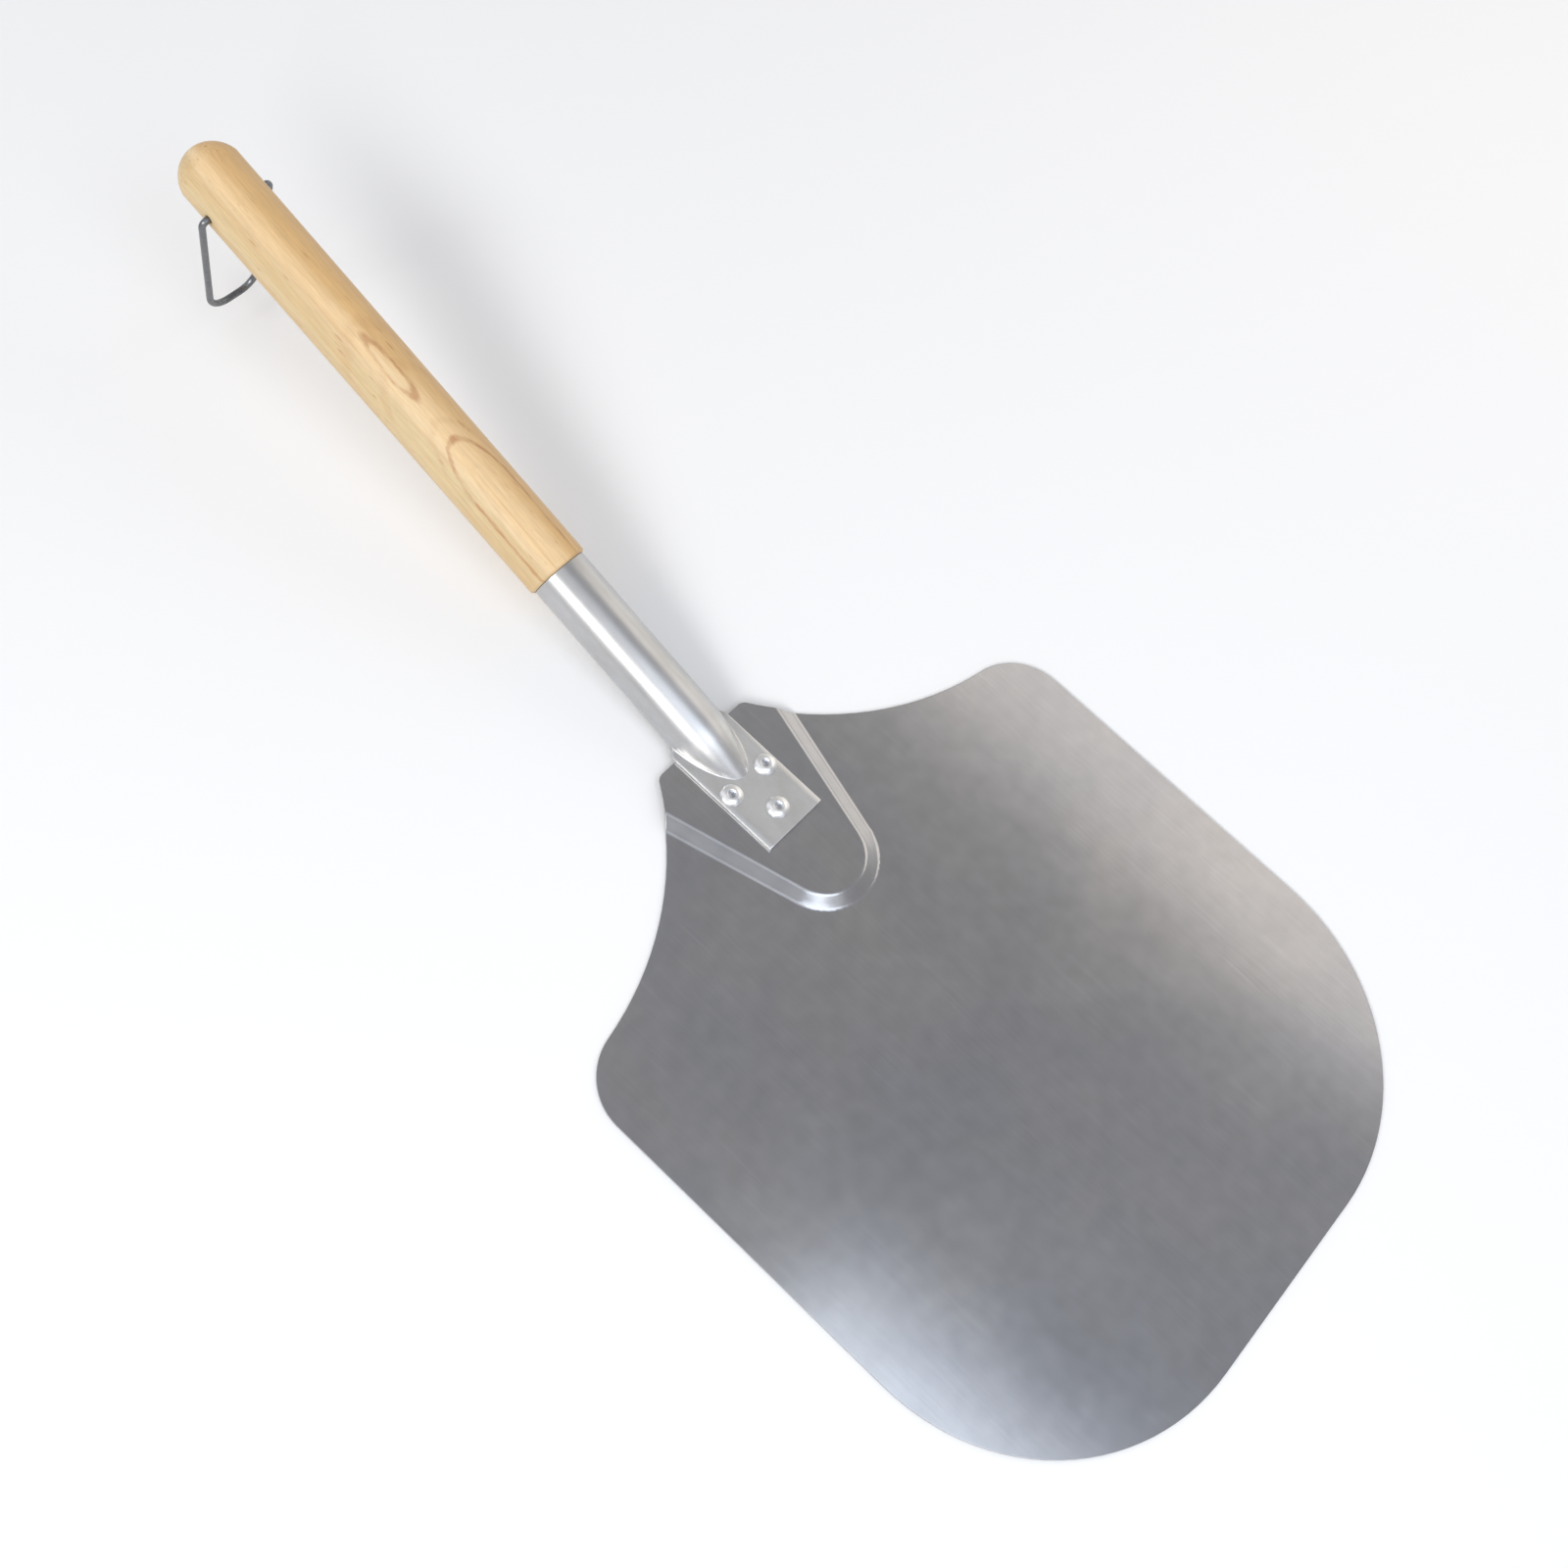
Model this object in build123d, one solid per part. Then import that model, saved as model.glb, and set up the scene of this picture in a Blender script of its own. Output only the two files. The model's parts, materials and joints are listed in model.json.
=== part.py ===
"""Pizza peel: sheet-metal blade, formed tube socket, turned wooden handle, hanging loop.

Millimetres. +Z up, +Y towards the front edge of the blade, +X to the user's right.
The origin is the centre of the blade's flat underside, on the surface it lies on.
"""
import os
from math import atan2, cos, degrees, radians, sin, sqrt, tan

from build123d import *

# ---- Blade: one pressed sheet -------------------------------------------------
sheet = 1.2                     # sheet thickness
blade_width = 304.8
blade_length = 349.25           # neck edge to front edge
front_corner_radius = 104.0     # the two large front corners
shoulder_radius = 29.0          # the two rear shoulders
shoulder_setback = 96.0         # neck edge to where the straight sides start
waist_radius = 153.0            # hollow curve between neck and shoulder
neck_width = 56.0
neck_corner_radius = 5.0

# ---- Raised panel pressed into the neck ---------------------------------------
panel_rise = 3.5                # gives the rivet tails room underneath
panel_length = 96.0             # neck edge to the tip of the panel's flat top
panel_nose_radius = 20.0
panel_flank_angle = 15.5        # each side, from the centre line
panel_border = 6.5              # width of the sloping border around it
panel_bend_radius = 5.0         # press radius along the top and the foot of the slope

# ---- Socket: a tube pressed flat at one end -----------------------------------
tube_radius = 13.75             # outside
tube_wall = 1.3
tube_length = 97.0              # along its axis, from the tang's rear edge to the mouth
handle_angle = 15.0             # rise of the tube and handle above the blade
tang_width = 34.6
tang_length = 59.0
tang_edge_bevel = 0.4           # on the edges of each of the tang's two layers
nose_length = 27.0              # how far the round form runs on over the tang
nose_run_in = 8.0               # how far behind the tang's rear edge it starts to close
nose_steps = 4                  # conical steps in which it closes
fan_length = 34.0               # where the flattened underside starts to spread
fan_start_width = 23.0
fan_start_height = 5.3

# ---- Rivets -------------------------------------------------------------------
rivet_head_radius = 5.5
rivet_head_height = 2.3
rivet_crown_radius = 3.9        # where the head's steep rim turns into its crown
rivet_rim_height = 1.5
rivet_dimple_radius = 1.5
rivet_dimple_depth = 0.5
rivet_shank_radius = 2.4
rivet_tail_radius = 4.0
rivet_tail_height = 1.5
rivet_spacing = 22.5            # between the two rear rivets
rear_rivet_setback = 29.3       # from the tang's rear edge
front_rivet_setback = 47.5

# ---- Handle -------------------------------------------------------------------
handle_radius = 15.25
handle_length = 239.0           # visible wood, from the tube's mouth to the end
handle_end_depth = 12.0         # depth of the rounded end
handle_shoulder_bevel = 1.6     # around the wood where it meets the tube's mouth
tenon_length = 52.0             # turned down to fit the tube
tenon_chamfer = 1.5

# ---- Handle pin, through the underside of the tube ----------------------------
pin_setback = 26.0              # from the tube's mouth
pin_shank_radius = 1.4
pin_length = 14.0
pin_head_radius = 2.8
pin_head_height = 1.0

# ---- Hanging loop -------------------------------------------------------------
wire_radius = 1.6
loop_hole_setback = 28.5        # from the handle's end to the cross hole
loop_hole_flare = 0.9           # eased mouth of the cross hole
loop_top_half = 18.8            # half width between the legs at the hole
loop_bottom_half = 13.5         # half width at the bottom corners
loop_drop = 73.0                # from the hole to the bottom bar
loop_top_bend = 3.0             # centre-line radii of the bends
loop_bottom_bend = 11.0
loop_lean = 8.0                 # how far it rests back from hanging straight down
loop_end_gap = 1.5              # between the wire's two ends, inside the hole

# ---- Clearances ---------------------------------------------------------------
seat_clearance = 0.05           # rivets, tenon and pin in their holes
running_clearance = 0.10        # wire in its cross hole, radial

# ---- Places that follow from the sizes ----------------------------------------
neck_y = -blade_length / 2
front_y = blade_length / 2
panel_top = panel_rise + sheet
layer = tube_wall                              # the tang is two tube walls thick
tang_top = panel_top + 2 * layer
tang_middle = panel_top + layer
tube_bore = tube_radius - tube_wall
slope = radians(handle_angle)
axis_back = Vector(0, -cos(slope), sin(slope))  # along the tube, towards the handle
axis_up = Vector(0, sin(slope), cos(slope))
axis_start = Vector(0, neck_y, tang_top)
handle_end = tube_length + handle_length
loop_hole = handle_end - loop_hole_setback
rivet_bore = rivet_shank_radius + seat_clearance
pin_bore = pin_shank_radius + seat_clearance
far = 2 * (blade_length + handle_end)          # larger than anything in the model


def on_axis(distance):
    """Point on the tube's axis, a distance back from the tang's rear edge."""
    return axis_start + axis_back * distance


def axis_plane(distance):
    """Plane square to the tube's axis: local z runs back along it, local x is +X."""
    return Plane(origin=on_axis(distance), x_dir=(1, 0, 0), z_dir=axis_back)


def turned(profile):
    """Solid of revolution about the tube's axis: x is the radius, y the distance back."""
    half_plane = Plane(origin=axis_start, x_dir=(1, 0, 0), z_dir=Vector(1, 0, 0).cross(axis_back))
    return revolve(half_plane * make_face(profile), Axis(axis_start, axis_back))


def both_sides(half):
    """A half outline on the +X side, joined to its mirror image."""
    return make_face(half + mirror(half, about=Plane.YZ))


# ---- Blade --------------------------------------------------------------------
def blade_outline():
    half_width = blade_width / 2
    corner = Vector(neck_width / 2, neck_y)
    shoulder = Vector(half_width - shoulder_radius, neck_y + shoulder_setback)
    # the waist's centre is one radius from the neck's corner and touches the shoulder
    span = shoulder - corner
    reach = waist_radius + shoulder_radius
    along = (waist_radius**2 - reach**2 + span.length**2) / (2 * span.length)
    across = sqrt(waist_radius**2 - along**2)
    forward = span.normalized()
    sideways = Vector(forward.Y, -forward.X)
    waist = corner + forward * along + sideways * across
    touch = waist + (shoulder - waist) * (waist_radius / reach)
    side_start = Vector(half_width, shoulder.Y)
    side_end = Vector(half_width, front_y - front_corner_radius)
    front_start = Vector(half_width - front_corner_radius, front_y)
    half = Line((0, neck_y), corner)
    half += RadiusArc(corner, touch, waist_radius)
    half += RadiusArc(touch, side_start, -shoulder_radius)
    half += Line(side_start, side_end)
    half += RadiusArc(side_end, front_start, -front_corner_radius)
    half += Line(front_start, (0, front_y))
    return both_sides(half)


def panel_form(base):
    """The pressing tool: a low solid with a sloping border, standing on one height."""
    flank = radians(panel_flank_angle)
    nose_radius = panel_nose_radius + panel_border
    nose_tip = Vector(0, neck_y + panel_length + panel_border)
    nose_centre = nose_tip - Vector(0, nose_radius)
    tangent = nose_centre + Vector(cos(flank), sin(flank)) * nose_radius
    rear_y = neck_y - panel_length / 4
    rear = Vector(tangent.X + (tangent.Y - rear_y) * tan(flank), rear_y)
    half = Line((0, rear_y), rear)
    half += Line(rear, tangent)
    half += RadiusArc(tangent, nose_tip, -nose_radius)
    lean = degrees(atan2(panel_border, panel_rise))
    return extrude(Pos(0, 0, base) * both_sides(half), panel_rise, taper=lean)


def border_edges(shape, height):
    """The panel's border at one height: flank, nose and flank, without the rear end."""
    level = shape.edges().filter_by_position(Axis.Z, height - 0.01, height + 0.01)
    return level.filter_by(lambda edge: neck_y < edge.center().Y < 0)


def make_blade():
    punch = panel_form(0)
    punch = fillet(border_edges(punch, panel_rise), panel_bend_radius)
    blank = Pos(0, 0, sheet / 2) * Box(2 * blade_width, 2 * blade_length, sheet)
    pressed = blank + panel_form(sheet)
    bends = border_edges(pressed, sheet) + border_edges(pressed, panel_top)
    pressed = fillet(bends, panel_bend_radius) - punch
    outline = extrude(blade_outline(), panel_top + sheet)
    corners = outline.edges().filter_by(Axis.Z).sort_by(Axis.Y)[:2]
    outline = fillet(corners, neck_corner_radius)
    blade = pressed & outline
    for place in rivet_places():
        blade -= place * Cylinder(rivet_bore, 4 * tang_top)
    return blade


# ---- Rivets -------------------------------------------------------------------
def rivet_places():
    """Two side by side and one ahead of them, on the tang's top face."""
    half = rivet_spacing / 2
    rear_row = neck_y + rear_rivet_setback
    front_row = neck_y + front_rivet_setback
    right = Pos(half, rear_row, tang_top)
    left = Pos(-half, rear_row, tang_top)
    front = Pos(0, front_row, tang_top)
    return [right, left, front]


def make_rivet():
    """Revolved about its own axis; local z = 0 is the tang's top face."""
    grip = tang_top - panel_rise
    section = Polyline(
        (0, 0, rivet_head_height - rivet_dimple_depth),
        (rivet_dimple_radius, 0, rivet_head_height),
        (rivet_crown_radius, 0, rivet_rim_height),
        (rivet_head_radius, 0, 0),
        (rivet_shank_radius, 0, 0),
        (rivet_shank_radius, 0, -grip),
        (rivet_tail_radius, 0, -grip),
        (rivet_tail_radius, 0, -grip - rivet_tail_height),
        (0, 0, -grip - rivet_tail_height),
        (0, 0, rivet_head_height - rivet_dimple_depth),
    )
    return revolve(make_face(section), Axis.Z)


# ---- Socket -------------------------------------------------------------------
def nose_form(inset):
    """The tube's closed end, turned about its axis and running out over the tang.

    Its profile bows in from the tube, tangent to it, and comes down to the tang's
    top face at the nose's length. The inset gives the form of its inside.
    """
    reach = nose_run_in + nose_length * cos(slope)
    drop = tube_radius - nose_length * sin(slope)
    bow_radius = (reach**2 + drop**2) / (2 * drop)
    past_tang = 1 + tang_top / reach            # the profile ends inside the tang
    profile = [(0, nose_run_in)]
    for step in range(nose_steps + 1):
        ahead = past_tang * reach * step / nose_steps
        fall = bow_radius - sqrt(bow_radius**2 - ahead**2)
        profile.append((tube_radius - inset - fall, nose_run_in - ahead))
    profile.append((0, profile[-1][1]))
    return turned(Polyline(*profile, close=True))


def tang_layer(bottom):
    centre = Pos(0, neck_y + tang_length / 2, bottom + layer / 2)
    plate = centre * Box(tang_width, tang_length, layer)
    return chamfer(plate.edges().filter_by(Axis.Z, reverse=True), tang_edge_bevel)


def make_fan():
    """The flattened underside of the tube, spreading to the tang's rear corners."""
    start = Plane(origin=(0, neck_y - fan_length, panel_top), x_dir=(1, 0, 0), z_dir=(0, 1, 0))
    end = Plane(origin=(0, neck_y + tang_edge_bevel, panel_top), x_dir=(1, 0, 0), z_dir=(0, 1, 0))
    narrow = start * Pos(0, -fan_start_height / 2) * Rectangle(fan_start_width, fan_start_height)
    wide = end * Pos(0, -layer) * Rectangle(tang_width, 2 * layer)
    return loft([narrow, wide], ruled=True)


def make_socket():
    straight = tube_length - nose_run_in
    start = axis_plane(nose_run_in)
    outer = extrude(start * Circle(tube_radius), straight) + nose_form(0) + make_fan()
    outer += tang_layer(panel_top) + tang_layer(tang_middle)
    inside = extrude(start * Circle(tube_bore), straight) + nose_form(tube_wall)
    # pressed flat underneath: the tang's lower layer runs on as the tube's floor
    above_floor = Pos(0, 0, panel_top + layer + far / 2) * Box(far, far, far)
    above_panel = Pos(0, 0, panel_top + far / 2) * Box(far, far, far)
    socket = (outer - (inside & above_floor)) & above_panel
    for place in rivet_places():
        socket -= place * Cylinder(rivet_bore, 4 * tang_top)
    return socket - pin_plane() * Cylinder(pin_bore, 2 * tube_radius)


# ---- Handle -------------------------------------------------------------------
def make_handle():
    tenon_radius = tube_bore - seat_clearance
    tenon_start = tube_length - tenon_length
    end_start = handle_end - handle_end_depth
    end_radius = (handle_radius**2 + handle_end_depth**2) / (2 * handle_end_depth)
    profile = Polyline(
        (0, handle_end),
        (0, tenon_start),
        (tenon_radius - tenon_chamfer, tenon_start),
        (tenon_radius, tenon_start + tenon_chamfer),
        (tenon_radius, tube_length),
        (handle_radius - handle_shoulder_bevel, tube_length),
        (handle_radius, tube_length + handle_shoulder_bevel),
        (handle_radius, end_start),
    )
    profile += RadiusArc((handle_radius, end_start), (0, handle_end), -end_radius)
    return turned(profile) - loop_bore() - pin_hole()


def loop_bore():
    """Cross hole for the wire, eased at both mouths."""
    radius = wire_radius + running_clearance
    across = Plane(origin=on_axis(loop_hole), x_dir=axis_back, z_dir=(1, 0, 0))
    flare = Cone(radius, radius + 2 * loop_hole_flare, 2 * loop_hole_flare)
    mouth = Pos(0, 0, handle_radius) * flare
    bore = Cylinder(radius, 3 * handle_radius) + mouth + Rot(180, 0, 0) * mouth
    return across * bore


# ---- Handle pin ---------------------------------------------------------------
def pin_plane():
    """On the tube's underside; local z runs into the wood."""
    seat = on_axis(tube_length - pin_setback) - axis_up * tube_radius
    return Plane(origin=seat, x_dir=(1, 0, 0), z_dir=axis_up)


def pin_hole():
    depth = pin_length + seat_clearance
    return pin_plane() * Pos(0, 0, depth / 2) * Cylinder(pin_bore, depth)


def make_pin():
    head = Pos(0, 0, -pin_head_height / 2) * Cylinder(pin_head_radius, pin_head_height)
    shank = Pos(0, 0, pin_length / 2) * Cylinder(pin_shank_radius, pin_length)
    return pin_plane() * (head + shank)


# ---- Hanging loop -------------------------------------------------------------
def make_loop():
    """Bent wire hanging from the cross hole; local y points up along the loop."""
    lean = radians(loop_lean)
    hang = Plane(origin=on_axis(loop_hole), x_dir=(1, 0, 0), z_dir=(0, -cos(lean), sin(lean)))
    route = FilletPolyline(
        (loop_end_gap / 2, 0),
        (loop_top_half, 0),
        (loop_bottom_half, -loop_drop),
        (-loop_bottom_half, -loop_drop),
        (-loop_top_half, 0),
        (-loop_end_gap / 2, 0),
        radius=[loop_top_bend, loop_bottom_bend, loop_bottom_bend, loop_top_bend],
    )
    route = hang * route
    start = Plane(origin=route @ 0, z_dir=route % 0)
    return sweep(start * Circle(wire_radius), path=route)


# ---- Write the parts ----------------------------------------------------------
rivet = make_rivet()
rivet_right, rivet_left, rivet_front = [place * rivet for place in rivet_places()]
parts = {
    "blade": make_blade(),
    "socket": make_socket(),
    "handle": make_handle(),
    "rivet_left": rivet_left,
    "rivet_right": rivet_right,
    "rivet_front": rivet_front,
    "handle_pin": make_pin(),
    "hanging_loop": make_loop(),
}

os.makedirs("parts", exist_ok=True)
for name, shape in parts.items():
    export_step(shape, f"parts/{name}.step")
    print(name, "solids", len(shape.solids()), "volume", round(shape.volume))
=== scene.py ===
import bmesh
import bpy
import json
import math
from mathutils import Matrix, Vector


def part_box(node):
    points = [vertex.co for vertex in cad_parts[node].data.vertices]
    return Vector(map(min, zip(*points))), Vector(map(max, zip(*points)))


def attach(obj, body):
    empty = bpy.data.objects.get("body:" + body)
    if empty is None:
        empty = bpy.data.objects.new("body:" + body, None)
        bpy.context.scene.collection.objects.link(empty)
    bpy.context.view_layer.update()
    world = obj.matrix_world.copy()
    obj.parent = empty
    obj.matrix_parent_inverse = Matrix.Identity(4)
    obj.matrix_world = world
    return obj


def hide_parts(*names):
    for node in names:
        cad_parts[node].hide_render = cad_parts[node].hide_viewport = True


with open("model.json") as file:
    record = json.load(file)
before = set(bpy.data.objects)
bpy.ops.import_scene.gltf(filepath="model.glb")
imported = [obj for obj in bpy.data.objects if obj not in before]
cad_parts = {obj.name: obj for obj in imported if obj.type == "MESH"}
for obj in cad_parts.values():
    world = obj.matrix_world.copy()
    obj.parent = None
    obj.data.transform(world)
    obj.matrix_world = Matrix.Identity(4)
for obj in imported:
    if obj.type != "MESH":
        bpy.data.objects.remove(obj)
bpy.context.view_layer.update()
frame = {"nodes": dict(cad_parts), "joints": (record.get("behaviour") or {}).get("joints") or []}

bpy.ops.object.select_all(action="DESELECT")
print("frame loaded:", len(frame["nodes"]), "nodes")

# places and sizes that several pieces share, in metres
bladeLow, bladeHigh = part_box("blade")
hinge = Vector(frame["joints"][0]["pos_m"])
neckY = bladeLow.y
panelTop = bladeHigh.z
sheet = 0.0012                     # thickness of the blade
wall = 0.0013                      # tube wall, and the thickness of each tang layer
tangTop = panelTop + 2 * wall
slope = math.radians(15)           # rise of the tube and the handle
lyingBack = (math.pi / 2 - slope, 0, 0)          # turns an upright piece to lie along their axis
axisBack = Vector((0, -math.cos(slope), math.sin(slope)))        # the axis runs back and up
axisUp = Vector((0, math.sin(slope), math.cos(slope)))
axisStart = Vector((0, neckY, tangTop))
mergeGap = 0.000002                # points closer than this become one


def onAxis(distance):
    return axisStart + axisBack * distance


# camera, turned in degrees
cameraSetup = {
    "place": (0.32297, -0.02540, 0.71807),
    "turn": (23.7858, -11.4011, 132.0095),
    "lens": 40.32,
    "sensor": 36,
}


def addCamera(setup):
    data = bpy.data.cameras.new("camera")
    data.lens = setup["lens"]
    data.sensor_width = setup["sensor"]
    camera = bpy.data.objects.new("camera", data)
    camera.location = setup["place"]
    camera.rotation_euler = [math.radians(angle) for angle in setup["turn"]]
    bpy.context.scene.collection.objects.link(camera)
    bpy.context.scene.camera = camera


addCamera(cameraSetup)
print("camera placed")


# material helpers
mixSockets = {"first": 6, "second": 7, "result": 2}      # where a Mix node keeps its colours
spreadEdges = (0.25, 0.75)                               # most of a noise lies between them


def newMaterial(name):
    material = bpy.data.materials.new(name)
    material.use_nodes = True
    tree = material.node_tree
    return material, tree, tree.nodes["Principled BSDF"]


def newMetal(name):
    material, tree, shader = newMaterial(name)
    shader.inputs["Metallic"].default_value = 1
    return material, tree, shader


def opaque(colour):
    return (*colour, 1)


def node(tree, kind, **values):
    made = tree.nodes.new(kind)
    for key, value in values.items():
        if key in made.inputs:
            made.inputs[key].default_value = value
        else:
            setattr(made, key, value)
    return made


def plugIn(tree, value, socket):       # a link, or a plain value
    if isinstance(value, bpy.types.NodeSocket):
        tree.links.new(value, socket)
    else:
        socket.default_value = value


def objectCoordinates(tree, scale=(1, 1, 1), turn=(0, 0, 0)):
    source = node(tree, "ShaderNodeTexCoord")
    mapping = node(tree, "ShaderNodeMapping", Rotation=turn, Scale=scale)
    tree.links.new(source.outputs["Object"], mapping.inputs["Vector"])
    return mapping.outputs["Vector"]


def ramp(tree, value, stops):
    made = node(tree, "ShaderNodeValToRGB")
    elements = made.color_ramp.elements
    while len(elements) < len(stops):
        elements.new(1)
    for element, (position, colour) in zip(elements, stops):
        element.position = position
        element.color = opaque(colour)
    tree.links.new(value, made.inputs["Fac"])
    return made.outputs["Color"]


def spread(tree, value, low, high):    # a 0 to 1 pattern as a grey between two values
    start, end = spreadEdges
    return ramp(tree, value, [(start, (low,) * 3), (end, (high,) * 3)])


def noise(tree, vector, scale, detail, roughness=0.5, distortion=0):
    made = node(tree, "ShaderNodeTexNoise", Scale=scale, Detail=detail, Roughness=roughness)
    made.inputs["Distortion"].default_value = distortion
    tree.links.new(vector, made.inputs["Vector"])
    return made.outputs["Fac"]


def mixColour(tree, blend, factor, first, second):
    made = node(tree, "ShaderNodeMix", data_type="RGBA", blend_type=blend)
    plugIn(tree, factor, made.inputs["Factor"])
    plugIn(tree, first, made.inputs[mixSockets["first"]])
    plugIn(tree, second, made.inputs[mixSockets["second"]])
    return made.outputs[mixSockets["result"]]


def maths(tree, operation, *values):
    made = node(tree, "ShaderNodeMath", operation=operation)
    for value, socket in zip(values, made.inputs):
        plugIn(tree, value, socket)
    return made.outputs["Value"]


def fade(tree, value, fromStart, fromEnd, toStart=0, toEnd=1):
    made = node(tree, "ShaderNodeMapRange", interpolation_type="SMOOTHSTEP")
    tree.links.new(value, made.inputs["Value"])
    ends = {"From Min": fromStart, "From Max": fromEnd, "To Min": toStart, "To Max": toEnd}
    for name, end in ends.items():
        made.inputs[name].default_value = end
    return made.outputs["Result"]


def bump(tree, shader, height, strength, distance, before=None):
    made = node(tree, "ShaderNodeBump", Strength=strength, Distance=distance)
    tree.links.new(height, made.inputs["Height"])
    if before is not None:
        tree.links.new(before, made.inputs["Normal"])
    tree.links.new(made.outputs["Normal"], shader.inputs["Normal"])
    return made.outputs["Normal"]


# light: flat lamps in a pale tent that is warmer to one side and cooler to the other
lightSetup = {
    "lamps": {                          # centre, what it faces, size in metres, brightness, colour
        "keyLamp": ((2.04, -0.05, 1.64), (0, -0.05, 0), (2.4, 0.62), 8.3, (1.00, 0.99, 0.97)),
        "warmLamp": ((-0.92, 0.02, 0.70), (-0.92, 0.02, 0), (0.80, 0.70), 0.88, (1.00, 0.92, 0.84)),
        "coolLamp": ((0.20, 0.34, 0.95), (0.20, 0.34, 0), (0.64, 0.50), 1.80, (0.80, 0.89, 1.00)),
    },
    "sides": [                          # across the tent: 0 looks to -X, 1 to +X
        (0.00, (1.40, 1.34, 1.24)), (0.05, (0.72, 0.70, 0.66)), (0.14, (0.50, 0.49, 0.48)),
        (0.25, (0.44, 0.44, 0.44)), (0.32, (0.41, 0.41, 0.43)), (0.45, (0.43, 0.44, 0.47)),
        (0.52, (0.86, 0.88, 0.94)), (0.66, (0.90, 0.92, 0.96)), (0.73, (0.45, 0.46, 0.49)),
        (0.90, (0.42, 0.43, 0.46)), (0.97, (0.60, 0.61, 0.63)),
    ],
    "ends": [                           # added along it: 0 looks to -Y, 1 to +Y
        (0.40, (0.07, 0.07, 0.06)), (0.50, (0.00, 0.00, 0.00)),
        (0.63, (0.04, 0.05, 0.07)), (0.88, (0.02, 0.02, 0.03)),
    ],
}


def addLamp(name, place, aim, size, brightness, colour):
    data = bpy.data.lights.new(name, "AREA")
    data.shape = "RECTANGLE"
    data.size, data.size_y = size
    data.energy = brightness * math.pi * size[0] * size[1]
    data.color = colour
    lamp = bpy.data.objects.new(name, data)
    lamp.location = place
    lamp.rotation_euler = (Vector(aim) - lamp.location).to_track_quat("-Z", "Y").to_euler()
    lamp.visible_camera = False
    bpy.context.scene.collection.objects.link(lamp)


def addTent(setup):
    world = bpy.data.worlds.new("tent")
    world.use_nodes = True
    tree = world.node_tree
    bpy.context.scene.world = world
    direction = node(tree, "ShaderNodeTexCoord").outputs["Generated"]
    half = node(tree, "ShaderNodeMapping", Scale=(0.5, 0.5, 0.5), Location=(0.5, 0.5, 0.5))
    tree.links.new(direction, half.inputs["Vector"])
    parts = node(tree, "ShaderNodeSeparateXYZ")
    tree.links.new(half.outputs["Vector"], parts.inputs["Vector"])
    sides = ramp(tree, parts.outputs["X"], setup["sides"])
    ends = ramp(tree, parts.outputs["Y"], setup["ends"])
    both = mixColour(tree, "ADD", 1, sides, ends)
    tree.links.new(both, tree.nodes["Background"].inputs["Color"])


for lampName, values in lightSetup["lamps"].items():
    addLamp(lampName, *values)
addTent(lightSetup)
bpy.context.scene.view_settings.view_transform = "Standard"
print("lamps and tent placed")


# floor, a hair under the blade
floorSetup = {"size": 12, "level": -0.0004, "colour": (0.90, 0.90, 0.90), "rough": 0.9}


def addFloor(setup):
    bpy.ops.mesh.primitive_plane_add(size=setup["size"], location=(0, 0, setup["level"]))
    floor = bpy.context.object
    floor.name = "floor"
    material, _, shader = newMaterial("paleFloor")
    shader.inputs["Base Color"].default_value = opaque(setup["colour"])
    shader.inputs["Roughness"].default_value = setup["rough"]
    floor.data.materials.append(material)


addFloor(floorSetup)
print("floor laid")


# modelling helpers
def deselectAll():
    bpy.ops.object.select_all(action="DESELECT")


def makeActive(piece):
    deselectAll()
    piece.select_set(True)
    bpy.context.view_layer.objects.active = piece


def applyPlace(piece):
    makeActive(piece)
    bpy.ops.object.transform_apply(location=True, rotation=True, scale=True)


def applyModifier(piece, kind, **values):
    makeActive(piece)
    modifier = piece.modifiers.new(kind.lower(), kind)
    for key, value in values.items():
        setattr(modifier, key, value)
    bpy.ops.object.modifier_apply(modifier=modifier.name)


def selectEdges(piece, wanted):
    bpy.ops.mesh.select_mode(type="EDGE")
    bpy.ops.mesh.select_all(action="DESELECT")
    mesh = bmesh.from_edit_mesh(piece.data)
    for edge in mesh.edges:
        if wanted(edge):
            edge.select_set(True)
    bmesh.update_edit_mesh(piece.data)


def faceOutwards():
    bpy.ops.mesh.select_all(action="SELECT")
    bpy.ops.mesh.normals_make_consistent(inside=False)
    bpy.ops.object.mode_set(mode="OBJECT")


def extrudeBy(move):
    bpy.ops.mesh.extrude_region_move(TRANSFORM_OT_translate={"value": move})


def growRings(profile):                # the selected ring grows through (radius, height) pairs
    radius, height = profile[0]
    for nextRadius, nextHeight in profile[1:]:
        extrudeBy((0, 0, nextHeight - height))
        share = nextRadius / radius
        bpy.ops.transform.resize(value=(share, share, 1), center_override=(0, 0, nextHeight))
        radius, height = nextRadius, nextHeight


def turnedPiece(name, profile, sides, poleRise=None):       # the last ring can close to a pole
    deselectAll()
    radius, height = profile[0]
    bpy.ops.mesh.primitive_circle_add(
        vertices=sides, radius=radius, location=(0, 0, height), fill_type="NGON"
    )
    piece = bpy.context.object
    piece.name = name
    applyPlace(piece)
    bpy.ops.object.mode_set(mode="EDIT")
    growRings(profile)
    if poleRise is not None:
        extrudeBy((0, 0, poleRise))
        bpy.ops.mesh.merge(type="CENTER")
    faceOutwards()
    return piece


def layOnAxis(piece):                  # from upright, with z as the distance back
    piece.rotation_euler = lyingBack
    piece.location = axisStart
    applyPlace(piece)


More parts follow.
